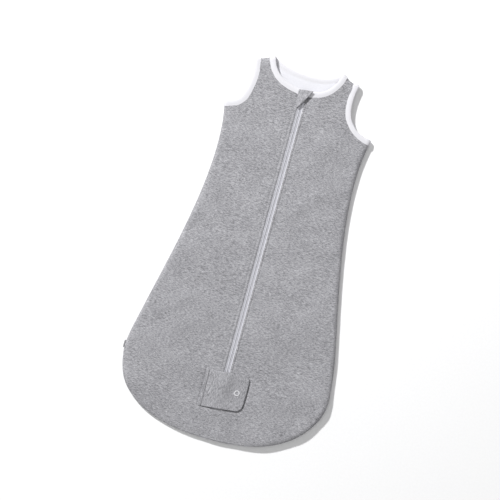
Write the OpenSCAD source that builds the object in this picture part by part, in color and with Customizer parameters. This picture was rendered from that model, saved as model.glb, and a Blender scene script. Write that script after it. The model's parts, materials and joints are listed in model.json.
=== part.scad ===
// Baby sleeping bag, sleeveless, laid flat and zipped up.
// Millimetres. X runs across the bag, +Y towards the neck, +Z up from the table.
// The origin is in the middle of the bag, on the table.

/* [Outline] */
// Height of the shoulder points above the middle of the bag
shoulder_y = 350; // [347:1:354]
// Height of the bottom edge, below the middle
hem_y = -345; // [-354:1:-340]
// Half width under the arms
armpit_x = 134; // [130:1:138]
// Height of the armpits
armpit_y = 238; // [234:1:242]
// Half width at the widest place
hip_x = 190; // [180:1:200]
// Height of the widest place
hip_y = -221; // [-230:1:-210]

/* [Fabric] */
// Thickness of the front and back panels
panel_t = 2; // [1.6:0.1:2]
// Height of the hollow between the panels
loft = 9; // [8.6:0.1:9]
// Width of the seam allowance round the sides and the bottom
seam_w = 7; // [5:0.5:9]
// Width of the neck and armhole bindings
binding_w = 9.5; // [8:0.5:10]
// How far a binding stands proud of its panel, each way
binding_proud = 0.3; // [0.2:0.1:0.4]

/* [Zip] */
// Place of the slider when the bag is closed
slider_rest_y = -236; // [-238:1:-234]
// How far the slider runs up the chain
slider_travel = 514; // [506:1:514]
// Half width of the slit between the two panel edges
slit_half = 4.7; // [4.5:0.1:4.9]
// Half width of both tapes together
tape_half = 13; // [10:0.5:15]
// Half width of the closed chain
chain_half = 3; // [2.6:0.1:3]

/* [Fold lines of the front] */
// Point of the neckline where a fold line starts, counted from the shoulder
fold_step = 4; // [3:1:5]
// Height at which the two fold lines meet
fold_low_y = -236; // [-238:1:-234]
// Gap between a folding part and the rest of the front
fold_gap = 0.4; // [0.3:0.1:0.6]

/* [Snap tab] */
// Width of the tab from its seam to its free end
tab_w = 74; // [70:1:78]
// Height of the tab
tab_h = 67; // [60:1:70]
// Turn of the tab from square to the zip
tab_lean = 4.5; // [0:0.5:6]
// Radius of the corners at the free end
tab_corner_r = 12; // [8:1:16]
// Diameter of the snap ring
snap_d = 10.5; // [9:0.5:12]

/* [Hidden] */
$fn = 64;

grey = "#a4a4a8";
white = "#efeff3";
zip_grey = "#cfcfd2";
metal = "#d6d7da";

// heights
front_z = panel_t + loft;
top_z = front_z + panel_t;
tape_t = 0.5;
tape_z = front_z - 0.6;
chain_z = tape_z + tape_t;
chain_t = 1.7;
facing_t = 0.8;

// Steps along each curved edge
curve_steps = 14;

// Points of a cubic curve through p[0] and p[3], pulled towards p[1] and p[2]
function curve(p, n = curve_steps) = [
  for (i = [0:n]) let (t = i / n, s = 1 - t)
    s * s * s * p[0] + 3 * s * s * t * p[1] + 3 * s * t * t * p[2] + t * t * t * p[3]
];
function reversed(p) = [for (i = [len(p) - 1:-1:0]) p[i]];
function unit(v) = v / norm(v);
// The left-hand normal of a line of points at point i
function normal_at(p, i) =
  let (d = unit(p[min(i + 1, len(p) - 1)] - p[max(i - 1, 0)])) [-d.y, d.x];
function shifted(p, w) = [for (i = [0:len(p) - 1]) p[i] + w * normal_at(p, i)];
// A band along a line of points, from a to b on its left-hand side
function band(p, a, b) = concat(shifted(p, a), reversed(shifted(p, b)));

// Edges of the right half, where panel fabric meets binding or seam
shoulder_neck = [71, shoulder_y - 5];
shoulder_arm = [87, shoulder_y - 11];
waist_edge = curve([
  [armpit_x, armpit_y], [armpit_x - 28, armpit_y - 146],
  [hip_x - 4, hip_y + 90], [hip_x, hip_y]
]);
corner_edge = curve([[hip_x, hip_y], [hip_x, hip_y - 58], [146, hem_y], [0, hem_y]]);
armhole_edge = curve([
  shoulder_arm, [78, 300], [82, 246], [armpit_x, armpit_y + 2]
]);
front_neck_edge = curve([shoulder_neck, [60, 303], [27, 295], [0, 295]]);
back_neck_edge = curve([shoulder_neck, [53, 329], [28, 323], [0, 323]]);

function half_outline(neck_edge) = concat(
  reversed(neck_edge), armhole_edge, waist_edge, corner_edge
);

module plate(z, t) {
  translate([0, 0, z]) linear_extrude(t) children();
}
module mirrored(side) {
  if (side < 0) mirror([1, 0, 0]) children(); else children();
}
module both_sides() {
  children();
  mirror([1, 0, 0]) children();
}
module full_outline(neck_edge) {
  half = half_outline(neck_edge);
  polygon(concat([for (p = half) [-p.x, p.y]], reversed(half)));
}

// The fold line of the right half: its direction and the way across it
fold_low = [0, fold_low_y];
fold_top = front_neck_edge[fold_step];
fold_dir = unit(fold_top - fold_low);
fold_across = [fold_dir.y, -fold_dir.x];
// The point of the fold line at height y, moved w across it
function fold_point(y, w) =
  let (a = fold_low + w * fold_across) a + (y - a.y) / fold_dir.y * fold_dir;
// Below this height the chain and tapes don't fold
fold_tip_y = -190;
beyond = 420;

// Everything on the slit's side of the right fold line moved by w, down to height low
module fold_zone(w, low) {
  polygon([
    [-beyond, low], fold_point(low, w), fold_point(beyond, w), [-beyond, beyond]
  ]);
}

// ---- body of the bag ----
module back_panel() {
  color(grey) plate(0, panel_t) full_outline(back_neck_edge);
}

// Room for the slider, which turns on the spot when the front folds open
slider_room = 6.5;
room_low = -262;
room_high = -226;

// The right half of the front, outside the fold line
function front_half() = concat(
  [
    [slider_room, room_low], [slider_room, room_high], [slit_half, room_high],
    [slit_half, fold_tip_y - tail_gap], fold_point(fold_tip_y - tail_gap, fold_gap / 2),
    fold_top + fold_gap / 2 * fold_across
  ],
  [for (i = [fold_step - 1:-1:0]) front_neck_edge[i]],
  armhole_edge, waist_edge, corner_edge
);
module front_panel() {
  half = front_half();
  color(grey) difference() {
    plate(front_z, panel_t) polygon(concat([for (p = half) [-p.x, p.y]], reversed(half)));
    translate([snap_x, snap_y, front_z - 1]) cylinder(d = shank_d + 0.2, h = panel_t + 2);
  }
}

module lapel_panel() {
  neck = [for (i = [fold_step - 1:curve_steps - 1]) front_neck_edge[i]];
  plate(front_z, panel_t) intersection() {
    polygon(concat(
      [[slit_half, fold_tip_y], [slit_half + 10, fold_tip_y]], neck,
      [[slit_half, front_neck_edge[curve_steps].y]]
    ));
    fold_zone(-fold_gap / 2, fold_tip_y);
  }
}
module lapel_left_panel() {
  color(grey) mirrored(-1) lapel_panel();
}
module lapel_right_panel() {
  color(grey) lapel_panel();
}

module side_seam(side) {
  color(grey) mirrored(side) plate(panel_t, loft) intersection() {
    polygon(band(waist_edge, 0, -seam_w));
    translate([0, hip_y]) square(beyond * 2);
  }
}
module side_seam_left() { side_seam(-1); }
module side_seam_right() { side_seam(1); }
module bottom_seam() {
  color(grey) plate(panel_t, loft) both_sides() intersection() {
    polygon(band(corner_edge, 0, -seam_w));
    translate([0, hip_y - beyond]) square(beyond);
  }
}

shoulder_line = [shoulder_neck + [1, -0.5], shoulder_arm - [1, -0.5]];
module shoulder_seam(side) {
  color(grey) mirrored(side) plate(panel_t, loft) polygon(band(shoulder_line, 0, -5));
}
module shoulder_seam_left() { shoulder_seam(-1); }
module shoulder_seam_right() { shoulder_seam(1); }

// ---- bindings ----
module front_binding(edge) {
  plate(front_z - binding_proud, panel_t + 2 * binding_proud)
    polygon(band(edge, 0, binding_w));
}
module back_binding(edge) {
  plate(0, panel_t + binding_proud) polygon(band(edge, 0, binding_w));
}
// The block that joins front and back binding at one end of an edge
module binding_join(edge, from, to) {
  plate(panel_t + binding_proud, loft - 2 * binding_proud)
    polygon(band([for (i = [from:to]) edge[i]], 0, binding_w));
}
module armhole_binding(side) {
  color(white) mirrored(side) {
    front_binding(armhole_edge);
    back_binding(armhole_edge);
    binding_join(armhole_edge, 0, 1);
    binding_join(armhole_edge, curve_steps - 1, curve_steps);
  }
}
module armhole_binding_left() { armhole_binding(-1); }
module armhole_binding_right() { armhole_binding(1); }

module neck_binding_back() {
  neck = reversed(back_neck_edge);
  front = reversed(front_neck_edge);
  color(white) both_sides() {
    back_binding(neck);
    binding_join(neck, curve_steps - 1, curve_steps);
    difference() {
      front_binding(front);
      plate(front_z - 2, panel_t + 4) fold_zone(fold_gap / 2, -beyond);
    }
  }
}
module neck_binding_front() {
  intersection() {
    front_binding(reversed(front_neck_edge));
    plate(front_z - 2, panel_t + 4) intersection() {
      fold_zone(-fold_gap / 2, -beyond);
      translate([slit_half, 0]) square(beyond);
    }
  }
}
module neck_binding_left() {
  color(white) mirrored(-1) neck_binding_front();
}
module neck_binding_right() {
  color(white) neck_binding_front();
}

// Half-moon lining sewn inside the back of the neck
facing_low_y = 262;
module neck_facing() {
  rim = curve([[65, 333], [65, 285], [36, facing_low_y], [0, facing_low_y]]);
  top = curve([[65, 333], [51, 326], [28, 322.6], [0, 322.6]]);
  half = concat(rim, reversed(top));
  color(white) plate(panel_t, facing_t) both_sides() polygon(half);
}

module side_label() {
  color(white) translate([-hip_x - 5, -226, 5]) cube([5, 13, 1.6]);
}

// ---- zip ----
// The part of the chain that folds narrows towards its end, so that the two halves
// clear each other while they turn.
chain_gap = 0.4;
module inner_strip(outer, top) {
  polygon([
    [chain_gap + 0.7, fold_tip_y], [outer, fold_tip_y], [outer, top],
    [chain_gap, top], [chain_gap, fold_tip_y + 65]
  ]);
}
tape_top_y = slider_rest_y + slider_travel + 5.5;
chain_top_y = tape_top_y - 8;
module lapel_tape() {
  plate(tape_z, tape_t) intersection() {
    inner_strip(tape_half, tape_top_y);
    fold_zone(-fold_gap / 2, fold_tip_y);
  }
}
module lapel_chain(top) {
  plate(chain_z, chain_t) intersection() {
    inner_strip(chain_half, top);
    fold_zone(-fold_gap / 2, fold_tip_y);
  }
}
module zip_tape_left() { color(zip_grey) mirrored(-1) lapel_tape(); }
module zip_tape_right() { color(zip_grey) lapel_tape(); }
module zip_chain_left() { color(zip_grey) mirrored(-1) lapel_chain(chain_top_y); }
module zip_chain_right() { color(zip_grey) lapel_chain(tape_top_y); }

// The tape beside the fold line and below its tip stays with the front panel
tail_gap = 1.5;
stub_low_y = -229;
module tape_tail() {
  plate(tape_z, tape_t) difference() {
    translate([chain_gap, room_low]) square([tape_half - chain_gap, 200]);
    intersection() {
      fold_zone(fold_gap / 2, fold_tip_y - tail_gap);
      square([beyond, 4 * beyond], center = true);
    }
    translate([0, room_low - 1]) square([slider_room, room_high - room_low + 1]);
  }
}
module zip_tape_tail_left() { color(zip_grey) mirrored(-1) tape_tail(); }
module zip_tape_tail_right() { color(zip_grey) tape_tail(); }
module zip_chain_end() {
  color(zip_grey) both_sides() translate([chain_gap, stub_low_y, chain_z])
    cube([chain_half - chain_gap, fold_tip_y - tail_gap - stub_low_y, chain_t]);
}
module zip_bar_tack() {
  color(zip_grey) translate([-8, room_low - 4, top_z]) cube([16, 3.5, 0.8]);
}

// Pin at the top of the left tape, held in the box at the top of the right tape
pin_x = -1.4;
pin_d = 1.2;
module insertion_pin() {
  pin_z = chain_z + 0.8;
  color(white) {
    translate([pin_x - 0.8, chain_top_y + 0.5, chain_z])
      cube([1.6, tape_top_y - chain_top_y - 0.5, 1.6]);
    translate([pin_x, tape_top_y - 0.5, pin_z]) rotate([-90, 0, 0])
      cylinder(d = pin_d, h = 8);
  }
}
module retainer_box() {
  color(white) difference() {
    translate([-2.6, tape_top_y + 0.2, 9.6]) cube([6.8, 9, 3.9]);
    translate([pin_x, tape_top_y, chain_z + 0.8]) rotate([-90, 0, 0])
      cylinder(d = pin_d + 0.5, h = 8);
  }
}

// Slider: two plates joined by a web between the two halves of the chain
slider_half = 4;
slider_len = 10;
slider_low_z = 9.5;
slider_plate_t = 0.7;
slider_top_z = 12.9;
lug_z = slider_top_z + slider_plate_t;
swivel_z = lug_z + 1.2;
lug_in = 1.5;
lug_out = 2.3;
swivel_d = 1;
module slider_body() {
  color(metal) translate([0, slider_rest_y, 0]) difference() {
    union() {
      for (z = [slider_low_z, slider_top_z])
        translate([-slider_half, -slider_len / 2, z])
          cube([2 * slider_half, slider_len, slider_plate_t]);
      translate([-0.2, -slider_len / 2, slider_low_z + 0.3])
        cube([0.4, 4, slider_top_z - slider_low_z]);
      both_sides() {
        translate([slider_half - 0.6, -slider_len / 2, chain_z + 0.4])
          cube([0.6, slider_len, slider_top_z - chain_z]);
        hull() {
          translate([lug_in, -2.4, lug_z - 0.3]) cube([lug_out - lug_in, 4.8, 0.4]);
          translate([lug_in, 0, swivel_z]) rotate([0, 90, 0])
            cylinder(r = 1, h = lug_out - lug_in, $fn = 32);
        }
      }
    }
    translate([-lug_out - 1, 0, swivel_z]) rotate([0, 90, 0])
      cylinder(d = swivel_d, h = 2 * lug_out + 2);
  }
}
module slider_pin() {
  color(metal) translate([-lug_out, slider_rest_y, swivel_z]) rotate([0, 90, 0])
    cylinder(d = swivel_d, h = 2 * lug_out);
}

// Pull tab of the slider, lying towards the bottom of the bag
pull_len = 17;
pull_half = 2.3;
pull_t = 0.9;
module zip_pull() {
  eye_half = lug_in - 0.3;
  color(metal) translate([0, slider_rest_y, swivel_z]) difference() {
    union() {
      rotate([0, 90, 0]) translate([0, 0, -eye_half]) cylinder(r = 1, h = 2 * eye_half);
      translate([-eye_half, -5, -pull_t / 2]) cube([2 * eye_half, 4.5, pull_t]);
      translate([-pull_half, pull_half - pull_len, -pull_t / 2])
        cube([2 * pull_half, pull_len - pull_half - 4, pull_t]);
      translate([0, pull_half - pull_len, -pull_t / 2])
        cylinder(r = pull_half, h = pull_t);
    }
    rotate([0, 90, 0]) translate([0, 0, -3]) cylinder(d = swivel_d + 0.3, h = 6);
    translate([0, pull_half - pull_len, -2]) cylinder(d = 2, h = 4);
  }
}

// Fabric guard over the top of the zip, arched so that the slider runs in under it
guard_t = 1.2;
guard_top_y = 306;
guard_low_y = 271;
function arch(left, up, over, right, t) = concat(
  [left[0], left[1], up, over, right],
  [for (p = [right, over, up, left[1], left[0]]) p + [0, t]]
);
module arched(profile, low, length) {
  translate([0, low + length, 0]) rotate([90, 0, 0]) linear_extrude(length) polygon(profile);
}
module chin_guard() {
  rest_z = top_z + binding_proud + 0.1;
  crown_z = swivel_z + 1.5;
  profile = arch([[-13, rest_z], [-9.5, rest_z]], [-4.5, crown_z], [4.5, crown_z],
    [14, rest_z + 0.8], guard_t);
  color(grey) intersection() {
    arched(profile, guard_low_y, guard_top_y - guard_low_y);
    plate(0, 30) polygon([
      [-13, guard_low_y], [-6, guard_low_y], [14, guard_top_y], [-13, guard_top_y]
    ]);
  }
}

// ---- snap tab over the parked slider ----
tab_seam_x = -36;
tab_hinge_x = -30;
tab_low_y = -286;
tab_t = 1.4;
tab_root_z = top_z + 0.2;
snap_x = 27;
snap_y = -251;
shank_d = 2.4;
stud_flange_t = 0.6;
snap_gap = 0.3;
socket_z = top_z + stud_flange_t + snap_gap;
socket_t = 1.2;
tab_end_z = socket_z + socket_t;
// The tab lies at a slight angle, turned about its middle
tab_mid = [4, tab_low_y + tab_h / 2];
module leaning() {
  translate(tab_mid) rotate([0, 0, tab_lean]) translate(-tab_mid) children();
}
module snap_tab_seam() {
  color(grey) leaning() translate([tab_seam_x, tab_low_y, top_z])
    cube([tab_hinge_x - tab_seam_x - 0.2, tab_h, tab_root_z + tab_t - top_z]);
}
module snap_tab_fabric() {
  crown_z = 19.2;
  left = tab_hinge_x + 0.2;
  right = tab_seam_x + tab_w + 6;
  profile = concat(
    [[left, tab_root_z], [left + 6, tab_root_z], [-7, crown_z], [7, crown_z],
      [19, tab_end_z], [right, tab_end_z]],
    [for (p = [[right, tab_end_z], [19, tab_end_z], [7, crown_z], [-7, crown_z],
      [left + 6, tab_root_z], [left, tab_root_z]]) p + [0, tab_t]]
  );
  r = tab_corner_r;
  color(grey) leaning() intersection() {
    arched(profile, tab_low_y, tab_h);
    plate(0, 30) union() {
      translate([left - 1, tab_low_y]) square([right - left + 1 - r, tab_h]);
      translate([left - 1, tab_low_y + r]) square([right - left + 1, tab_h - 2 * r]);
      for (y = [tab_low_y + r, tab_low_y + tab_h - r]) translate([right - r, y]) circle(r);
    }
  }
}
module snap_ring_cap() {
  color(metal) translate([snap_x, snap_y, tab_end_z + tab_t]) difference() {
    cylinder(d = snap_d, h = 0.9);
    translate([0, 0, -1]) cylinder(d = snap_d - 4, h = 3);
  }
}
module snap_socket() {
  color(metal) translate([snap_x, snap_y, socket_z]) difference() {
    cylinder(d = snap_d - 0.5, h = socket_t);
    translate([0, 0, -1]) cylinder(d = 4.2, h = 3);
  }
}
module snap_stud() {
  color(metal) translate([snap_x, snap_y, 0]) {
    translate([0, 0, top_z]) cylinder(d = snap_d - 0.5, h = stud_flange_t);
    translate([0, 0, top_z]) cylinder(d = 3.6, h = stud_flange_t + 1.3);
    translate([0, 0, front_z]) cylinder(d = shank_d, h = panel_t + 0.1);
  }
}
module snap_stud_backing() {
  color(metal) translate([snap_x, snap_y, front_z - 0.8]) cylinder(d = snap_d - 1, h = 0.8);
}

back_panel();
front_panel();
side_seam_left();
side_seam_right();
bottom_seam();
shoulder_seam_left();
shoulder_seam_right();
neck_binding_back();
armhole_binding_left();
armhole_binding_right();
neck_facing();
side_label();
zip_tape_tail_left();
zip_tape_tail_right();
zip_chain_end();
zip_bar_tack();
snap_stud();
snap_stud_backing();
snap_tab_seam();
lapel_left_panel();
zip_tape_left();
zip_chain_left();
insertion_pin();
neck_binding_left();
chin_guard();
lapel_right_panel();
zip_tape_right();
zip_chain_right();
retainer_box();
neck_binding_right();
slider_body();
slider_pin();
zip_pull();
snap_tab_fabric();
snap_ring_cap();
snap_socket();
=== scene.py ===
"""Looks for the baby sleeping bag: every fabric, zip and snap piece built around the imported
CAD frame. Lengths are in millimetres in the helpers, and in metres in the meshes.
X runs across the bag, +Y towards the neck, +Z up from the table."""

import json
import math

import bmesh
import bpy
import numpy as np
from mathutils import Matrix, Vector, kdtree, noise
from mathutils.geometry import delaunay_2d_cdt


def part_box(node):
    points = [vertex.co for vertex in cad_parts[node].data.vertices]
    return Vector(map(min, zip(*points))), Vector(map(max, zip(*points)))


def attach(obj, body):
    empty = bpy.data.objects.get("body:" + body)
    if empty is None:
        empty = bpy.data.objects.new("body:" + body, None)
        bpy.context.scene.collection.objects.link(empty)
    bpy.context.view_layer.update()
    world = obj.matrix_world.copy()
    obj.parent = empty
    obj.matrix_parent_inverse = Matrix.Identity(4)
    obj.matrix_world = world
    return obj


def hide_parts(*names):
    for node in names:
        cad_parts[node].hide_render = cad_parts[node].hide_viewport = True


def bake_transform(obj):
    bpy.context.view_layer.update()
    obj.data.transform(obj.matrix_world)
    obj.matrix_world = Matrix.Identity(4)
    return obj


MM = 0.001
SIDES = ((1, "right"), (-1, "left"))
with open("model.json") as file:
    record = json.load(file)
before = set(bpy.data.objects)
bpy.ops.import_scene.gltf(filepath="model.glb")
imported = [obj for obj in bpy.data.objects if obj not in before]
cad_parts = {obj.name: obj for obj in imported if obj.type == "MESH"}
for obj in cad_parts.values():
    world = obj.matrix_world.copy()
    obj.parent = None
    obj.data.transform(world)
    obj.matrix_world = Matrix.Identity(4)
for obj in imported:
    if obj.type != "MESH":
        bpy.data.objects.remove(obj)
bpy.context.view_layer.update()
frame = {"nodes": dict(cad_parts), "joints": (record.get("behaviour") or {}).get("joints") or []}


# ---- frame measures
def box(node):
    """Lowest and highest corner of a CAD node, in millimetres."""
    low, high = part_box(node)
    return np.array(low) / MM, np.array(high) / MM


def joint(name):
    return next(j for j in frame["joints"] if j["name"] == name)


def top_loop(node):
    """The longest edge loop of a node's highest flat face, anticlockwise, in millimetres."""
    mesh = frame["nodes"][node].data
    mesh.calc_loop_triangles()
    co = np.array([v.co for v in mesh.vertices]) / MM
    top = co[:, 2].max()
    after = {}
    for tri in mesh.loop_triangles:
        if min(co[i][2] for i in tri.vertices) < top - 0.01:
            continue
        ids = [tuple(np.round(co[i][:2], 3)) for i in tri.vertices]
        for a, b in zip(ids, ids[1:] + ids[:1]):
            if (b, a) in after:
                del after[(b, a)]
            else:
                after[(a, b)] = True
    following = {a: b for a, b in after}
    loops = []
    while following:
        start = next(iter(following))
        loop, here = [], start
        while here in following:
            loop.append(here)
            here = following.pop(here)
        loops.append(loop)
    return np.array(max(loops, key=len))


def smooth(points, step):
    """Points every step along a smooth curve through points, the ends kept."""
    p = np.asarray(points, float)
    ends = np.vstack([2 * p[0] - p[1], p, 2 * p[-1] - p[-2]])
    t = np.linspace(0, 1, 12, endpoint=False)[:, None]
    dense = []
    for a, b, c, d in zip(ends[:-3], ends[1:-2], ends[2:-1], ends[3:]):
        dense.append(0.5 * (2 * b + (c - a) * t + (2 * a - 5 * b + 4 * c - d) * t**2
                            + (3 * b - a - 3 * c + d) * t**3))
    dense = np.vstack(dense + [p[-1:]])
    return spaced(dense, step)


def run_along(line):
    """Distance travelled along a line at each of its points."""
    return np.concatenate([[0], np.cumsum(np.linalg.norm(np.diff(line, axis=0), axis=1))])


def spaced(line, step):
    """The same line, with a point about every step along it."""
    run = run_along(line)
    count = max(2, int(round(run[-1] / step)) + 1)
    at = np.linspace(0, run[-1], count)
    return np.stack([np.interp(at, run, line[:, k]) for k in range(line.shape[1])], 1)


def tangents(line):
    t = np.gradient(line, axis=0)
    return t / np.linalg.norm(t, axis=1)[:, None]


def left_of(line):
    """Unit normals to the left of a flat line."""
    t = tangents(line)
    return np.stack([-t[:, 1], t[:, 0]], 1)


def unit(v):
    return v / np.linalg.norm(v)


def distance(points, line):
    """Distance from each point to a flat line of points."""
    if len(points) > 4000:
        return np.concatenate([distance(points[:4000], line), distance(points[4000:], line)])
    a, b = line[:-1], line[1:]
    along = b - a
    size = np.maximum((along**2).sum(1), 1e-12)
    rel = points[:, None] - a[None]
    t = np.clip((rel * along[None]).sum(2) / size[None], 0, 1)
    gap = rel - t[:, :, None] * along[None]
    return np.sqrt((gap**2).sum(2).min(1))


def inside(points, loop):
    """Which points lie inside a closed loop."""
    if len(points) > 4000:
        return np.concatenate([inside(points[:4000], loop), inside(points[4000:], loop)])
    x, y = points[:, 0][:, None], points[:, 1][:, None]
    ax, ay = loop[:, 0][None], loop[:, 1][None]
    bx, by = np.roll(loop[:, 0], -1)[None], np.roll(loop[:, 1], -1)[None]
    crosses = (ay > y) != (by > y)
    rise = np.where(by == ay, 1e-9, by - ay)
    return (crosses & (x < (bx - ax) * (y - ay) / rise + ax)).sum(1) % 2 == 1


def repeated(vector, count):
    """The same direction for every point of a line."""
    return np.tile(np.array(vector, float), (count, 1))


def round_section(radius):
    """Six-sided section of a thread."""
    turn = np.linspace(0, 2 * np.pi, 6, endpoint=False)
    return [(radius * math.cos(a), radius * math.sin(a)) for a in turn]


def ease(t):
    """0 to 1, levelling out at both ends."""
    t = np.clip(t, 0, 1)
    return t * t * (3 - 2 * t)


def bell(gap, width):
    return np.exp(-((gap / width) ** 2))


def waves(xy, size, seed):
    """Smooth random unevenness, its swells about size across."""
    return np.array([noise.noise(Vector((x / size, y / size, seed))) for x, y in xy[:, :2]])


def area_of(loop):
    x, y = loop[:, 0], loop[:, 1]
    return abs(float((x * np.roll(y, -1) - y * np.roll(x, -1)).sum())) / 2


# Edges of the right half of the bag, from the middle of the neck round to the middle of the hem
outline = top_loop("back_panel")
start = int(np.argmin(np.abs(outline[:, 0]) + np.where(outline[:, 1] > 0, 0, 999)))
outline = np.roll(outline, -start, axis=0)
if outline[1][0] < 0:
    outline = np.vstack([outline[:1], outline[:0:-1]])
low = int(np.argmin(np.abs(outline[:, 0]) + np.where(outline[:, 1] < 0, 0, 999)))
half = outline[: low + 1]
at_shoulder = int(np.argmax(half[:, 1]))
at_hip = int(np.argmax(half[:, 0]))
armpit_y = box("side_seam_right")[1][1]
at_armpit = at_shoulder + 2 + int(np.argmin(np.abs(half[at_shoulder + 2:at_hip, 1] - armpit_y)))
STEP = 3.0
back_neck = smooth(half[: at_shoulder + 1], STEP)
shoulder = spaced(half[at_shoulder: at_shoulder + 2], STEP)
armhole = smooth(half[at_shoulder + 1: at_armpit], STEP)
side_line = smooth(half[at_armpit: at_hip + 1], STEP)
corner_line = smooth(half[at_hip:], STEP)

neck_points = np.vstack([top_loop("front_panel"), top_loop("lapel_right_panel")])
neck_low = box("neck_binding_right")[0][1]
slit_half = box("lapel_right_panel")[0][0]
neck_points = neck_points[(neck_points[:, 1] > neck_low - 0.5) & (neck_points[:, 0] > 0)]
neck_points = neck_points[(neck_points[:, 0] < half[at_shoulder][0] + 0.1)]
neck_points = neck_points[np.argsort(neck_points[:, 0])]
on_curve = [neck_points[0]]
for p in neck_points[1:]:
    if np.linalg.norm(p - on_curve[-1]) > 2.0:
        on_curve.append(p)
front_neck = smooth(on_curve, STEP)

front_low, front_high = box("front_panel")
panel_t = front_high[2] - front_low[2]
top_z = front_high[2]
knit_t = 1.7
seam_z = top_z / 2
slider_low, slider_high = box("slider_body")
slot_low = box("zip_tape_tail_right")[0][1]
slot_half = slider_high[0] + 2.5
slot_high = slider_high[1] + 5
tab_low, tab_high = box("snap_tab_fabric")
guard_low, guard_high = box("chin_guard")
cap_low, cap_high = box("snap_ring_cap")
snap_x, snap_y = (cap_low[:2] + cap_high[:2]) / 2

# The fold line of the right half, and where the cloth starts and ends its bend
fold = joint("front_fold_right")
fold_at = np.array(fold["pos_m"][:2]) / MM
fold_dir = unit(np.array(fold["axis"][:2]))
fold_across = np.array([fold_dir[1], -fold_dir[0]])
BEND = 6.0

# The tab leans a little: its own straight box, and the turn between that and the bag
lean_axis = joint("snap_tab_open")["axis"]
LEAN = math.atan2(lean_axis[0], -lean_axis[1])
TAB_SKEW = (0.05, 0.028)
TAB_R = 12.0
tab_pivot = (tab_low[:2] + tab_high[:2]) / 2


def turned(points, angle):
    """Flat points turned about the middle of the tab."""
    c, s = math.cos(angle), math.sin(angle)
    rel = np.asarray(points, float) - tab_pivot
    return np.stack([rel[..., 0] * c - rel[..., 1] * s, rel[..., 0] * s + rel[..., 1] * c], -1) + tab_pivot


def skewed(points):
    """Flat points of the straight tab, pulled slightly out of square as it lies."""
    rel = np.asarray(points, float) - tab_pivot
    x, y = rel[..., 0], rel[..., 1]
    return np.stack([x + TAB_SKEW[0] * y, y + TAB_SKEW[1] * x], -1) + tab_pivot


def straight_box(node):
    """Box of a tab node in the tab's own frame, its heights as they are."""
    low, high = box(node)
    own = turned([tuple(v.co.xy / MM) for v in frame["nodes"][node].data.vertices], -LEAN)
    low[:2], high[:2] = own.min(0), own.max(0)
    return low, high


tab_low, tab_high = straight_box("snap_tab_fabric")
seam_low, seam_high = straight_box("snap_tab_seam")
own_snap = turned((snap_x, snap_y), -LEAN)
own_slider = turned((0.5, (slider_low[1] + slider_high[1]) / 2), -LEAN)


def drift(points):
    """Sideways shift of the cloth, which lies a little askew on either side of the zip."""
    x, y = points[:, 0], points[:, 1]
    shift = 2.0 * ease((y + 215) / 75) - 7.0 * ease((y - 235) / 50) - 3.5 * ease((-240 - y) / 60)
    return shift * ease((np.abs(x) - 15) / 50)


HEM_ZONE = -170


def hem_lift(points):
    """How far the hem stands off the table, most at its right."""
    x, y = points[:, 0], points[:, 1]
    out = np.zeros(len(points))
    near = y < HEM_ZONE
    if near.any():
        edge = distance(np.column_stack([np.abs(x[near]), y[near]]), corner_line)
        curl = 0.8 + 3.2 * ease((x[near] + 90) / 170)
        curl = curl * (1 + 0.9 * waves(points[near], 48, 6.3))
        out[near] = curl * ease(1 - edge / 48) * ease((-175 - y[near]) / 90)
    return out


# ---- mesh helpers
def mesh_object(name, verts, faces, cloth=None):
    """A mesh object from millimetre points, with its flat cloth place kept on each point."""
    mesh = bpy.data.meshes.new(name)
    verts = np.array(verts, float)
    verts[:, 2] += hem_lift(verts)
    verts[:, 0] += drift(verts)
    mesh.from_pydata([tuple(v) for v in verts * MM], [], [tuple(int(i) for i in f) for f in faces])
    if cloth is not None:
        place = mesh.attributes.new("cloth", "FLOAT_VECTOR", "POINT")
        place.data.foreach_set("vector", np.asarray(cloth, np.float32).ravel())
    bm = bmesh.new()
    bm.from_mesh(mesh)
    bmesh.ops.remove_doubles(bm, verts=bm.verts, dist=0.004 * MM)
    bmesh.ops.dissolve_degenerate(bm, edges=bm.edges, dist=0.003 * MM)
    bmesh.ops.recalc_face_normals(bm, faces=bm.faces)
    bm.to_mesh(mesh)
    bm.free()
    mesh.shade_smooth()
    mesh.set_sharp_from_angle(angle=math.radians(50))
    obj = bpy.data.objects.new(name, mesh)
    bpy.context.scene.collection.objects.link(obj)
    return obj


# Rows of mesh points kept along each kind of border, by their distance from it
RINGS = {
    "seam": (0.25, 0.8, 1.6, 2.7, 4.1, 5.8, 7.8, 10.2),
    "slit": (0.2, 0.5, 0.9, 1.2, 1.5, 1.9, 2.4, 3.0, 3.4, 3.8, 4.2, 4.8, 5.6, 6.4, 6.9, 7.2, 7.6, 8.4, 10.5),
    "edge": (0.15, 0.4, 0.8, 1.4, 2.4),
    "bind": (1.0, 3.0),
    "mid": (),
}
MORE_CLEAR = 9


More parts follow.
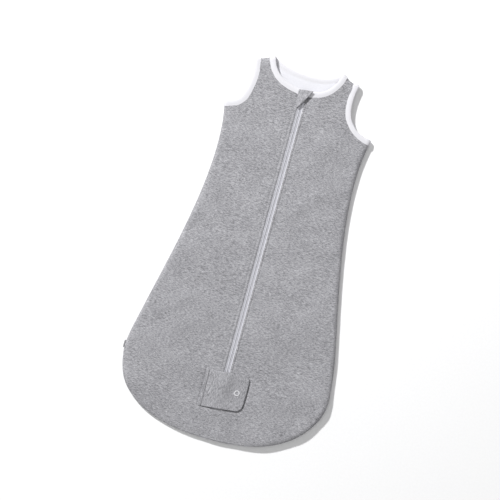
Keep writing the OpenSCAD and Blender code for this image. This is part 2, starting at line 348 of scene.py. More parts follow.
def flat_mesh(border, spacing, more):
    """Triangles inside a border of (kind, line) stretches that run anticlockwise, with more points."""
    loop = np.vstack([line[:-1] for _, line in border])
    closed = np.vstack([loop, loop[:1]])
    keep = [loop]
    for kind, line in border:
        for d in RINGS[kind]:
            ring = spaced(line, max(1.6, min(spacing, 1.2 + d)))
            ring = ring + d * left_of(ring)
            ring = ring[inside(ring, loop)]
            if len(ring):
                ring = ring[distance(ring, closed) > 0.97 * d]
            keep.append(ring)
    if more is not None:
        keep.append(more[inside(more, loop) & (distance(more, closed) > MORE_CLEAR)])
    low_xy, high_xy = loop.min(0), loop.max(0)
    rows = np.arange(low_xy[1], high_xy[1], spacing * 0.866)
    grid = np.array([(x + (i % 2) * spacing / 2, y) for i, y in enumerate(rows)
                     for x in np.arange(low_xy[0], high_xy[0], spacing)])
    grid = grid[inside(grid, loop)]
    known = np.vstack(keep)
    tree = kdtree.KDTree(len(known))
    for i, p in enumerate(known):
        tree.insert((p[0], p[1], 0), i)
    tree.balance()
    grid = np.array([p for p in grid if tree.find((p[0], p[1], 0))[2] > 0.62 * spacing])
    points = np.vstack([known, grid]) if len(grid) else known
    edges = [(i, (i + 1) % len(loop)) for i in range(len(loop))]
    out = delaunay_2d_cdt([Vector(p) for p in points], edges, [], 1, 1e-5)
    xy = np.array([tuple(v) for v in out[0]])
    return xy, np.array([f for f in out[2] if len(f) == 3]), loop


def shell(name, border, height, thickness, side=1, face=1, base=0.0, spacing=4.0, more=None):
    """A cloth shell. height(xy, gaps) is its outer face above base; gaps holds the distance to
    each kind of border. Slit and edge borders are rounded, and at a seam the cloth turns in."""
    xy, tris, loop = flat_mesh(border, spacing, more)
    gaps = {}
    for kind in RINGS:
        lines = [line for k, line in border if k == kind]
        gaps[kind] = np.min([distance(xy, line) for line in lines], 0) if lines else np.full(len(xy), 1e3)
    place = xy * [side, 1]
    z = height(place, gaps)
    outer = np.column_stack([xy, z])
    # normals of the outer face
    n = np.zeros_like(outer)
    a, b, c = outer[tris[:, 0]], outer[tris[:, 1]], outer[tris[:, 2]]
    cross = np.cross(b - a, c - a)
    cross[cross[:, 2] < 0] *= -1
    for k in range(3):
        np.add.at(n, tris[:, k], cross)
    n /= np.linalg.norm(n, axis=1)[:, None]
    for kind, line in border:
        if kind == "seam":
            away = -left_of(line)
            for p, w in zip(line, away):
                hit = np.linalg.norm(xy - p, axis=1) < 1e-4
                n[hit] = [w[0], w[1], 0]
    r = thickness / 2
    d = np.minimum(gaps["slit"], gaps["edge"])
    full = np.sqrt(np.maximum(0, 1 - (1 - np.minimum(d, r) / r) ** 2))
    outer[:, 2] -= r * (1 - full)
    inner = outer - n * (thickness * full)[:, None]
    verts = np.vstack([outer, inner]) * [side, 1, 1]
    verts[:, 2] = base + face * verts[:, 2]
    count = len(xy)
    seen = {}
    for t in tris:
        for i, j in ((t[0], t[1]), (t[1], t[2]), (t[2], t[0])):
            key = (min(i, j), max(i, j))
            seen[key] = seen.get(key, 0) + 1
    rim = [(i, j, j + count, i + count) for (i, j), times in seen.items() if times == 1]
    faces = list(map(tuple, tris)) + [tuple(t[::-1] + count) for t in tris] + rim
    cloth = np.column_stack([np.vstack([place, place]), verts[:, 2]])
    obj = mesh_object(name, verts, faces, cloth)
    obj["flat_area"] = area_of(loop) * MM * MM
    return obj


def sweep(name, path, wide, up, profile, closed=False):
    """A strip with the section profile, a list of (across, up), drawn along path."""
    path, wide, up = (np.asarray(v, float) for v in (path, wide, up))
    profile = np.asarray(profile, float)
    if profile.ndim == 2:
        profile = np.repeat(profile[None], len(path), 0)
    n, m = profile.shape[:2]
    verts = (path[:, None] + profile[:, :, :1] * wide[:, None] + profile[:, :, 1:2] * up[:, None])
    run = run_along(path)
    cloth = np.stack([profile[:, :, 0], np.repeat(run[:, None], m, 1), profile[:, :, 1]], 2)
    faces = []
    for i in range(n if closed else n - 1):
        j = (i + 1) % n
        for k in range(m):
            l = (k + 1) % m
            faces.append((i * m + k, i * m + l, j * m + l, j * m + k))
    if not closed:
        faces.append(tuple(range(m)))
        faces.append(tuple(range((n - 1) * m, n * m))[::-1])
    return mesh_object(name, verts.reshape(-1, 3), faces, cloth.reshape(-1, 3))


def lathe(name, centre, profile, closed=True):
    """A turned piece: profile is a list of (radius, height), closed into a ring."""
    count = 48
    profile = np.asarray(profile, float)
    turn = np.linspace(0, 2 * np.pi, count, endpoint=False)
    verts, faces = [], []
    m = len(profile)
    for a in turn:
        for r, h in profile:
            verts.append((centre[0] + r * math.cos(a), centre[1] + r * math.sin(a), centre[2] + h))
    for i in range(count):
        j = (i + 1) % count
        for k in range(m if closed else m - 1):
            l = (k + 1) % m
            faces.append((i * m + k, j * m + k, j * m + l, i * m + l))
    return mesh_object(name, verts, faces, np.array(verts))


def stitch_row(name, path, up, radius=0.3):
    """A row of separate thread stitches along a path, each dipping into the cloth at its ends."""
    length, gap, sink = 2.7, 0.9, 0.1
    both = spaced(np.hstack([path, up]), (length + gap) / 8)
    ring = np.linspace(0, 2 * np.pi, 6, endpoint=False)
    verts, faces, cloth = [], [], []
    swell = np.array([0.35, 0.9, 1.0, 1.0, 0.9, 0.35])
    lift = np.array([-0.55, -0.05, 0.1, 0.1, -0.05, -0.55])
    per = 8
    for first in range(0, len(both) - per, per):
        part = both[first: first + 6]
        ahead = unit(part[-1, :3] - part[0, :3])
        base = len(verts)
        for q, s, l in zip(part, swell, lift):
            b = unit(q[3:])
            w = np.cross(b, ahead)
            for a in ring:
                verts.append(q[:3] + b * (radius * (1 + l) - sink - radius + radius * s * math.sin(a))
                             + w * radius * s * math.cos(a))
                cloth.append((a, first, 0))
        for i in range(5):
            for k in range(6):
                l = (k + 1) % 6
                faces.append((base + i * 6 + k, base + i * 6 + l, base + i * 6 + 6 + l, base + i * 6 + 6 + k))
        faces.append(tuple(base + k for k in range(6)))
        faces.append(tuple(base + 30 + k for k in range(6))[::-1])
    return mesh_object(name, verts, faces, cloth)


def coil(name, side, y_low, y_high, x_in, x_out, z_mid, rise, pitch, wire, phase):
    """One half of a coil zip: a flattened helix of thick thread."""
    turns = (y_high - y_low) / pitch
    steps = int(turns * 12)
    a = np.linspace(0, turns * 2 * np.pi, steps)
    x = side * ((x_in + x_out) / 2 + (x_out - x_in) / 2 * np.cos(a + phase))
    path = np.column_stack([x, y_low + pitch * a / (2 * np.pi), z_mid + rise * np.sin(a + phase)])
    t = tangents(path)
    w = np.cross(t, [0, 1, 0])
    w /= np.linalg.norm(w, axis=1)[:, None]
    b = np.cross(w, t)
    return sweep(name, path, w, b, round_section(wire))


# ---- materials
class Net:
    """A material with short calls for wiring its node tree."""

    def __init__(self, name, roughness, sheen=0.0, specular=0.3, coat=0.0):
        self.material = bpy.data.materials.new(name)
        self.material.use_nodes = True
        self.tree = self.material.node_tree
        self.bsdf = self.tree.nodes["Principled BSDF"]
        for socket, value in (
                ("Roughness", roughness), ("Specular IOR Level", specular),
                ("Sheen Weight", sheen), ("Sheen Roughness", 0.5), ("Coat Weight", coat)):
            self.bsdf.inputs[socket].default_value = value

    def node(self, kind, **values):
        n = self.tree.nodes.new(kind)
        for k, v in values.items():
            setattr(n, k, v)
        return n

    def link(self, a, b):
        self.tree.links.new(a, b)

    def math(self, op, *values):
        n = self.node("ShaderNodeMath", operation=op)
        for i, v in enumerate(values):
            if isinstance(v, (int, float)):
                n.inputs[i].default_value = v
            else:
                self.link(v, n.inputs[i])
        return n.outputs[0]

    def place(self):
        """The cloth's own flat coordinates, in millimetres."""
        n = self.node("ShaderNodeAttribute", attribute_name="cloth")
        return n.outputs["Vector"]

    def stretch(self, vector, scale, turn=0.0):
        n = self.node("ShaderNodeMapping")
        n.inputs["Scale"].default_value = scale
        n.inputs["Rotation"].default_value = (0, 0, turn)
        self.link(vector, n.inputs["Vector"])
        return n.outputs[0]

    def noise(self, vector, scale, detail=2.0, rough=0.5):
        n = self.node("ShaderNodeTexNoise")
        n.inputs["Scale"].default_value = scale
        n.inputs["Detail"].default_value = detail
        n.inputs["Roughness"].default_value = rough
        self.link(vector, n.inputs["Vector"])
        return n.outputs["Fac"]

    def grain(self, place, scale, detail, rough=0.5):
        """Noise stretched by scale, in repeats per millimetre."""
        return self.noise(self.stretch(place, scale), 1.0, detail, rough)

    def wave(self, value, rate):
        return self.math("SINE", self.math("MULTIPLY", value, rate))

    def ramp(self, value, stops):
        n = self.node("ShaderNodeValToRGB")
        n.color_ramp.elements[0].position, n.color_ramp.elements[0].color = stops[0][0], (*stops[0][1], 1)
        n.color_ramp.elements[1].position, n.color_ramp.elements[1].color = stops[-1][0], (*stops[-1][1], 1)
        for at, colour in stops[1:-1]:
            n.color_ramp.elements.new(at).color = (*colour, 1)
        self.link(value, n.inputs["Fac"])
        return n.outputs["Color"]

    def bump(self, height, strength, depth):
        n = self.node("ShaderNodeBump")
        n.inputs["Strength"].default_value = strength
        n.inputs["Distance"].default_value = depth * MM
        self.link(height, n.inputs["Height"])
        return n.outputs["Normal"]

    def paint(self, value, colour, shade, low, high):
        """Colour, darkened to shade of itself where value is low."""
        tint = self.ramp(value, [(low, tuple(c * shade for c in colour)), (high, colour)])
        self.link(tint, self.bsdf.inputs["Base Color"])

    def relief(self, height, strength, depth):
        self.link(self.bump(height, strength, depth), self.bsdf.inputs["Normal"])

    def split(self, vector):
        n = self.node("ShaderNodeSeparateXYZ")
        self.link(vector, n.inputs[0])
        return n.outputs


def knit_height(net, place, wale, course):
    """Raised rows of small V stitches."""
    x, y, _ = net.split(place)
    lean = net.math("PINGPONG", net.math("DIVIDE", x, wale), 0.5)
    up = net.math("ADD", net.math("DIVIDE", y, course), net.math("MULTIPLY", lean, 1.1))
    loops = net.wave(up, 2 * math.pi)
    ribs = net.wave(lean, 2 * math.pi)
    return net.math("ADD", net.math("MULTIPLY", loops, 0.35), net.math("MULTIPLY", ribs, 0.5))


def heather(name, crosswise=False, tone=1.0):
    """Grey marl jersey: light and dark fibres drawn out along the rows."""
    net = Net(name, 0.92, sheen=0.12, specular=0.2)
    place = net.place()
    if crosswise:
        place = net.stretch(place, (1, 1, 1), math.pi / 2)
    streaks = net.grain(place, (0.21, 1.4, 0.36), 4.0, 0.72)
    fibres = net.grain(place, (0.58, 2.2, 0.7), 3.0, 0.7)
    clouds = net.grain(place, (0.02, 0.03, 0.02), 2.0, 0.5)
    mix = net.math("ADD", net.math("MULTIPLY", streaks, 0.62), net.math("MULTIPLY", fibres, 0.33))
    mix = net.math("ADD", mix, net.math("MULTIPLY", clouds, 0.05))
    dark, mid, light = 0.035, 0.318, 0.715
    colour = net.ramp(mix, [
        (0.34, (dark * tone, dark * tone, dark * tone * 1.05)),
        (0.50, (mid * tone, mid * 0.995 * tone, mid * 1.055 * tone)),
        (0.66, (light * tone, light * 0.995 * tone, light * 1.04 * tone)),
    ])
    net.link(colour, net.bsdf.inputs["Base Color"])
    height = net.math("ADD", knit_height(net, place, 1.25, 0.95), net.math("MULTIPLY", fibres, 1.4))
    net.relief(height, 0.35, 0.22)
    return net.material


def rib(name, colour):
    """White rib knit, its ribs across the strip."""
    ribs = 1.15
    net = Net(name, 0.85, sheen=0.15, specular=0.25)
    place = net.place()
    _, y, _ = net.split(place)
    fuzz = net.grain(place, (0.9,) * 3, 3.0)
    wave = net.wave(y, 2 * math.pi / ribs)
    shade = net.math("ADD", net.math("MULTIPLY", fuzz, 0.7), net.math("MULTIPLY", wave, 0.08))
    net.paint(shade, colour, 0.93, 0.2, 0.5)
    height = net.math("ADD", wave, net.math("MULTIPLY", fuzz, 1.2))
    net.relief(height, 0.3, 0.15)
    return net.material


def jersey(name, colour):
    net = Net(name, 0.88, sheen=0.12, specular=0.25)
    place = net.place()
    fuzz = net.grain(place, (0.5, 0.7, 0.5), 3.0)
    net.paint(fuzz, colour, 0.95, 0.3, 0.6)
    height = net.math("ADD", knit_height(net, place, 1.1, 0.85), net.math("MULTIPLY", fuzz, 1.0))
    net.relief(height, 0.3, 0.15)
    return net.material


def woven(name, colour, thread=0.55):
    """Tightly woven tape: crossing threads with small shadows between them."""
    net = Net(name, 0.8, sheen=0.08, specular=0.3)
    place = net.place()
    x, y, _ = net.split(place)
    warp = net.math("SINE", net.math("MULTIPLY", net.math("ADD", x, y), 2 * math.pi / thread))
    weft = net.math("SINE", net.math("MULTIPLY", net.math("SUBTRACT", x, y), 2 * math.pi / thread))
    weave = net.math("MULTIPLY", warp, weft)
    fuzz = net.grain(place, (0.6, 0.9, 0.6), 3.0)
    shade = net.math("ADD", net.math("MULTIPLY", weave, 0.18), fuzz)
    net.paint(shade, colour, 0.8, 0.25, 0.65)
    net.relief(weave, 0.4, 0.12)
    return net.material


def plastic(name, colour, roughness=0.42):
    """Moulded plastic with a faint mottle and fine grain."""
    net = Net(name, roughness, specular=0.45)
    place = net.place()
    mottle = net.grain(place, (0.35,) * 3, 3.0)
    net.paint(mottle, colour, 0.9, 0.3, 0.7)
    grain = net.grain(place, (4,) * 3, 2.0)
    net.relief(grain, 0.15, 0.05)
    return net.material


def enamel(name, colour):
    """Sprayed metal: smooth, with slight unevenness in its gloss."""
    net = Net(name, 0.35, specular=0.5, coat=0.25)
    where = net.node("ShaderNodeTexCoord").outputs["Object"]
    grain = net.noise(where, 900.0, 3.0)
    net.paint(grain, colour, 0.88, 0.3, 0.65)
    gloss = net.node("ShaderNodeMapRange")
    gloss.inputs["To Min"].default_value = 0.26
    gloss.inputs["To Max"].default_value = 0.46
    net.link(grain, gloss.inputs["Value"])
    net.link(gloss.outputs["Result"], net.bsdf.inputs["Roughness"])
    net.relief(grain, 0.12, 0.04)
    return net.material


M = {
    "knit": heather("heather_knit"),
    "tab": heather("heather_knit_crosswise", crosswise=True, tone=1.02),
    "binding": rib("white_rib", (0.76, 0.755, 0.79)),
    "facing": jersey("white_jersey", (0.74, 0.74, 0.78)),
    "label": woven("woven_label", (0.25, 0.25, 0.26), 0.4),
    "tape": woven("zip_tape_weave", (0.84, 0.84, 0.89)),
    "coil": plastic("coil_nylon", (0.74, 0.74, 0.785), 0.5),
    "plastic": plastic("moulded_plastic", (0.66, 0.66, 0.67)),
    "zinc": enamel("painted_zinc", (0.55, 0.55, 0.57)),
    "snap": enamel("white_enamel", (0.66, 0.66, 0.68)),
    "thread": woven("grey_thread", (0.24, 0.24, 0.25), 0.4),
}


def dress(obj, material, slot, body, *nodes):
    """Gives a piece its material and either parents it to its body or, for a tuple of bodies, bakes its
    placement in; hides the CAD nodes it stands for. The slot is not used.
    """
    obj.data.materials.clear()
    obj.data.materials.append(M[material])
    if isinstance(body, tuple):
        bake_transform(obj)
    else:
        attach(obj, body)
    if nodes:
        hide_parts(*nodes)
    return obj


# ---- shape of the cloth
ROLL = 9.0


def rolled(gap, full):
    """Height over the seam line of cloth that turns down to the seam."""
    t = np.clip(gap / ROLL, 0, 1)
    return full * np.sqrt(np.maximum(0, 1 - (1 - t) ** 2))


def ridge(xy, a, b, width, lift):
    """A soft raised fold along a line from a to b."""
    return lift * bell(distance(xy, np.array([a, b], float)), width)


# Each fold of the front: its two ends, half width and height
FOLDS = [
    ((30, 92), (96, 158), 22, 1.5), ((-132, -190), (-62, -134), 24, 1.3),
    ((-136, 52), (-100, 96), 20, 1.2), ((-150, -60), (-124, -18), 20, 1.1),
    ((96, -120), (150, -40), 26, 1.0), ((60, 215), (104, 262), 18, 1.0),
    ((60, -290), (140, -240), 22, 0.9), ((14, 60), (70, 128), 9, 0.8),
    ((70, 128), (112, 140), 9, 0.6), ((-150, -150), (-84, -88), 10, 0.8),
    ((-122, 20), (-84, 60), 9, 0.6),
]


def drape(xy):
    """Soft folds and swells of the front as it lies; front_height keeps them clear of the zip."""
    lift = sum(ridge(xy, *crease) for crease in FOLDS)
    return lift + 1.6 * waves(xy, 85, 3.1) + 0.8 * waves(xy, 34, 7.7)


def off_tab(xy):
    """0 under and beside the snap tab, 1 well away from it."""
    x, y = turned(xy, -LEAN).T
    dx = np.maximum(np.maximum(tab_low[0] - 8 - x, x - tab_high[0] - 2), 0)
    dy = np.maximum(np.maximum(tab_low[1] - 2 - y, y - tab_high[1] - 2), 0)
    return ease(np.hypot(dx, dy) / 22)


def tab_arc(centre_x, centre_y, radius, start):
    """A quarter turn round a corner of the tab, anticlockwise from the angle start."""
    return [(centre_x + radius * math.cos(start + a), centre_y + radius * math.sin(start + a))
            for a in np.linspace(0, math.pi / 2, 9)]


def tab_corner(grow):
    """The tab's lower and right edges, with its corner, moved outwards by grow."""
    right, low, r = tab_high[0] + grow, tab_low[1] - grow, TAB_R + grow
    arc = tab_arc(right - r, low + r, r, -math.pi / 2)
    return np.array([(tab_low[0] + 2, low)] + arc + [(right, tab_high[1] - TAB_R)])


GROOVE = 0.9
GROOVE_ROWS = (-1.0, 0.0, 0.5, 0.9, 1.3, 1.9, 3.0)
ROOT_ROWS = (-0.3, 0.3, 0.7, 1.1, 1.7)
groove_line = turned(skewed(tab_corner(GROOVE)), LEAN)
guard_free = np.array([(guard_low[0] + 7.6, guard_low[1] - 0.2), (guard_high[0] + 0.9, guard_high[1] - 1.4)])


def beside_root(gap):
    """A line along the left of the tab's sewn edge."""
    x = seam_low[0] - gap
    return turned(skewed(spaced(np.array([(x, seam_low[1]), (x, seam_high[1])]), 1.5)), LEAN)


root_line = beside_root(0.7)
groove_near = np.vstack([beside_root(gap) for gap in ROOT_ROWS]
                        + [turned(skewed(spaced(tab_corner(g), 1.3)), LEAN) for g in GROOVE_ROWS])

# Rows of stitches beside the slit on either side, by their distance from it, and how deep each sinks
STITCH_GAPS = {1: (3.9,), -1: (1.4, 7.2)}
STITCH_SINK = {3.9: 1.0, 1.4: 0.25, 7.2: 0.3}


def front_height(side):
    """Height of one half of the front: drape, puckers at the seams, stitch channels, grooves."""
    def height(xy, gaps):
        z = rolled(gaps["seam"], top_z - seam_z)
        flat = ease((np.abs(xy[:, 0]) - 12) / 28) * off_tab(xy)
        flat = flat * ease(gaps["bind"] / 24) * ease(gaps["seam"] / 16)
        z = z - 6.0 * ease((tab_low[1] + 3 - xy[:, 1]) / 75) * rolled(gaps["seam"], 1)
        z = z + drape(xy) * flat
        pucker = waves(xy, 6.5, 1.7) * 0.45 * np.exp(-gaps["seam"] / 5.0)
        pucker += waves(xy, 21, 2.9) * 1.3 * bell(gaps["seam"] - 11, 9.0)
        pucker += waves(xy, 7.5, 4.2) * 0.35 * np.exp(-np.abs(gaps["bind"] - 2) / 4.0)
        z = z + pucker * np.minimum(1, gaps["seam"] / 1.5)
        for at in STITCH_GAPS[side]:
            z = z - STITCH_SINK[at] * bell(gaps["slit"] - at, 0.8)
        if side < 0:
            z = z + 0.6 * bell(gaps["slit"] - 3.2, 1.7) - 0.8 * bell(gaps["slit"], 1.0)
            z = z - 0.9 * bell(distance(xy, root_line), 0.8)
        else:
            z = z - 0.4 * bell(gaps["slit"], 1.5)
            z = z - 3.0 * bell(distance(xy, guard_free + [1.5, -1.0]), 2.6)
        return z - 2.2 * bell(distance(xy, groove_line), 0.85)

    return height


def back_height(xy, gaps):
    z = rolled(gaps["seam"], seam_z)
    pucker = waves(xy, 6.5, 9.3) * 0.35 * np.exp(-gaps["seam"] / 5.0)
    dent = 0.5 * np.maximum(0, waves(xy, 60, 5.5)) * ease(gaps["seam"] / 20)
    return z + np.minimum(pucker, 0) * np.minimum(1, gaps["seam"] / 1.5) - dent


# ---- knit body
slot_bend = smooth([
    (slit_half, slot_high + 6), (slit_half + 0.5, slot_high + 2), (slot_half - 0.2, slot_high - 3),
    (slot_half, (slot_high + slot_low) / 2), (slot_half - 0.3, slot_low + 7),
    (slot_half - 3, slot_low + 1), (0, slot_low - 0.5)], 1.5)
slit_line = spaced(np.array([(slit_half, front_neck[0][1]), slot_bend[0]]), STEP)
slit_line = np.vstack([slit_line[:-1], slot_bend])
mid_line = spaced(np.array([slit_line[-1], (0, corner_line[-1][1])]), STEP)
neck_edge = np.vstack([front_neck[::-1][front_neck[::-1][:, 0] > slit_half + 1], slit_line[:1]])
outer_border = [
    ("seam", corner_line[::-1]), ("seam", side_line[::-1]),
    ("bind", np.array([side_line[0], armhole[-1]])), ("bind", armhole[::-1]), ("seam", shoulder[::-1]),
]
front_border = outer_border + [
    ("bind", neck_edge), ("slit", slit_line), ("mid", mid_line),
]
for side, name in SIDES:
    knit = shell(f"front_knit_{name}", front_border, front_height(side), knit_t, side, base=seam_z,
                 more=groove_near * [side, 1])
    nodes = [f"lapel_{name}_panel"] + (["front_panel"] if side > 0 else [])
    dress(knit, "knit", "body_knit", ("root", f"front_{name}"), *nodes)

back_border = outer_border + [("bind", back_neck[::-1])]
mirrored = [(k, (line * [-1, 1])[::-1]) for k, line in back_border[::-1]]
back = shell("back_knit", back_border + mirrored, back_height, knit_t, 1, face=-1, base=seam_z, spacing=5.0)
dress(back, "knit", "body_knit", "root", "back_panel")


# ---- seams inside the edge
def seam_profile(line, width, thick, inset):
    """Overlocked edge: flat, with a scalloped inner border."""
    run = run_along(line)
    out = []
    for s in run:
        w = width + 0.35 * math.sin(2 * math.pi * s / 3.3)
        out.append([(inset, -thick), (inset + w * 0.55, -thick), (inset + w, -thick * 0.4),
                    (inset + w, thick * 0.4), (inset + w * 0.55, thick), (inset, thick)])
    return np.array(out)


def seam_strip(name, line, node, side=1, width=5.0):
    """One overlocked seam allowance, standing inside its seam line."""
    thick = 1.1
    line = spaced(line, 1.1)
    inward = left_of(line)
    path = np.column_stack([line, np.full(len(line), seam_z)]) * [side, 1, 1]
    wide = np.column_stack([inward, np.zeros(len(line))]) * [side, 1, 1]
    up = repeated((0, 0, 1), len(line))
    obj = sweep(name, path, wide, up, seam_profile(line, width, thick, knit_t + 0.2))
    dress(obj, "knit", "body_knit", "root", node)


for side, name in SIDES:
    seam_strip(f"side_seam_allowance_{name}", side_line[2:-1][::-1], f"side_seam_{name}", side)
    seam_strip(f"shoulder_seam_allowance_{name}", np.vstack([shoulder[-1:], shoulder[:1]]),
               f"shoulder_seam_{name}", side, 4.0)
whole_hem = np.vstack([(corner_line * [-1, 1])[2:-1], corner_line[::-1][:-2]])
seam_strip("bottom_seam_allowance", whole_hem, "bottom_seam")

# ---- bindings
BIND_OVER = 1.3
BIND_WIDE = 9.5
front_mid = top_z - panel_t / 2
back_mid = 1.45
TURN_R = (front_mid - back_mid) / 2


def binding_profile():
    """A folded strip: full at its outer edge, pressed down where it is sewn."""
    half_t = 1.5
    out = []
    for a in np.linspace(0, 2 * np.pi, 26, endpoint=False):
        c, s = math.cos(a), math.sin(a)
        u = (BIND_WIDE + BIND_OVER) / 2 * (1 + math.copysign(abs(c) ** 0.62, c)) - BIND_OVER
        v = half_t * math.copysign(abs(s) ** 0.7, s)
        v *= 1 - 0.26 * math.exp(-(((u - 0.9) / 0.75) ** 2)) + 0.06 * math.exp(-(((u - 4.5) / 3) ** 2))
        out.append((u, v))
    return out


def lay(line, z, facing):
    """Path, width and thickness directions of a flat stretch of binding."""
    n = len(line)
    w = left_of(line)
    return (np.column_stack([line, np.full(n, z)]), np.column_stack([w, np.zeros(n)]),
            repeated((0, 0, facing), n))


def turn(p, q, out_p, out_q, w_p, w_q, top, low):
    """The half turn of a binding from the front layer round to the back layer."""
    steps = 9
    mid, r = (top + low) / 2, (top - low) / 2
    paths, wides, ups = [], [], []
    for k in range(1, steps):
        t = k / steps
        a = math.pi * t
        ahead = unit(out_p * (1 - t) + out_q * t)
        w = unit(w_p * (1 - t) + w_q * t)
        at = p * (1 - t) + q * t + ahead * abs(r) * math.sin(a)
        paths.append((*at, mid + r * math.cos(a)))
        wides.append((*w, 0))
        ups.append((*(ahead * math.sin(a)), math.copysign(1, r) * math.cos(a)))
    return np.array(paths), np.array(wides), np.array(ups)


def joined(*parts):
    return tuple(np.vstack([p[k] for p in parts]) for k in range(3))


def wobble(parts, seed, amount=0.3):
    """A slight unevenness along a sewn strip."""
    path, wide, up = parts
    run = run_along(path)
    shift = np.array([noise.noise(Vector((s / 16, seed, 0))) for s in run])
    lift = np.array([noise.noise(Vector((s / 11, seed, 5))) for s in run])
    return path + wide * (shift * amount)[:, None] + up * (lift * amount * 0.6)[:, None], wide, up


def trimmed(line, head, tail):
    run = run_along(line)
    at = np.linspace(head, run[-1] - tail, max(2, int((run[-1] - head - tail) / STEP) + 1))
    return np.stack([np.interp(at, run, line[:, k]) for k in range(2)], 1)


for side, name in SIDES:
    down = trimmed(armhole, TURN_R * 0.75, TURN_R * 0.9)
    ahead, wide = tangents(down), left_of(down)
    front_part = lay(down, front_mid, 1)
    under = turn(down[-1], down[-1], ahead[-1], ahead[-1], wide[-1], wide[-1], front_mid, back_mid)
    back_part = tuple(v[::-1] for v in lay(down, back_mid, -1))
    over = turn(down[0], down[0], -ahead[0], -ahead[0], wide[0], wide[0], back_mid, front_mid)
    path, w, up = wobble(joined(front_part, under, back_part, over), 2 + side)
    path, w, up = (v * [side, 1, 1] for v in (path, w, up))
    obj = sweep(f"armhole_rib_{name}", path, w, up, binding_profile(), closed=True)
    dress(obj, "binding", "binding", "root", f"armhole_binding_{name}")

neck_front = trimmed(front_neck, slit_half - front_neck[0][0], TURN_R * 0.75)
across = (neck_front - fold_at) @ fold_across
cut = int(np.argmax(across > BEND + 3))
neck_back_line = trimmed(back_neck, 0, TURN_R * 0.75)
f_ahead, f_wide = tangents(neck_front), left_of(neck_front)
b_ahead, b_wide = tangents(neck_back_line), left_of(neck_back_line)
half_round = turn(neck_front[-1], neck_back_line[-1], f_ahead[-1], b_ahead[-1], f_wide[-1], b_wide[-1],
                  front_mid, back_mid)
front_lay = lay(neck_front, front_mid, 1)
back_lay = tuple(v[::-1] for v in lay(neck_back_line, back_mid, -1))
right_half = joined(front_lay, half_round, back_lay)
right_half = wobble(right_half, 6.0, 0.22)
for side, name in SIDES:
    path, w, up = (v[: cut + 1] * ([side, 1, 1]) for v in right_half)
    obj = sweep(f"neck_rib_{name}", path, w, up, binding_profile())
    dress(obj, "binding", "binding", ("root", f"front_{name}"), f"neck_binding_{name}")
rest = tuple(v[cut:] for v in right_half)
ring = tuple(np.vstack([v, (v * [-1, 1, 1])[::-1][1:]]) for v in rest)
obj = sweep("neck_rib_back", *ring, binding_profile())
dress(obj, "binding", "binding", "root", "neck_binding_back")

# half-moon facing inside the back of the neck
moon_loop = top_loop("neck_facing")
neck_all = np.vstack([(back_neck * [-1, 1])[:0:-1], back_neck])
neck_out = left_of(neck_all)
neck_out *= np.sign(neck_out[:, 1].mean())
tucked = []
for p in moon_loop:
    at = int(np.argmin(np.linalg.norm(neck_all - p, axis=1)))
    gap = float(np.linalg.norm(neck_all[at] - p))
    tucked.append(p + (neck_all[at] + neck_out[at] * 1.8 - p) * ease((7 - gap) / 4))
moon_loop = spaced(np.vstack([tucked, tucked[:1]]), 3.0)


def moon_height(xy, gaps):
    rise = ease(distance(xy, neck_all) / 5)
    return 0.5 + 0.4 * rise + 0.35 * waves(xy, 24, 2.2) * ease(gaps["edge"] / 8) * rise


obj = shell("neck_lining", [("edge", moon_loop)], moon_height, 0.8, base=knit_t + 0.3)
dress(obj, "facing", "facing", "root", "neck_facing")

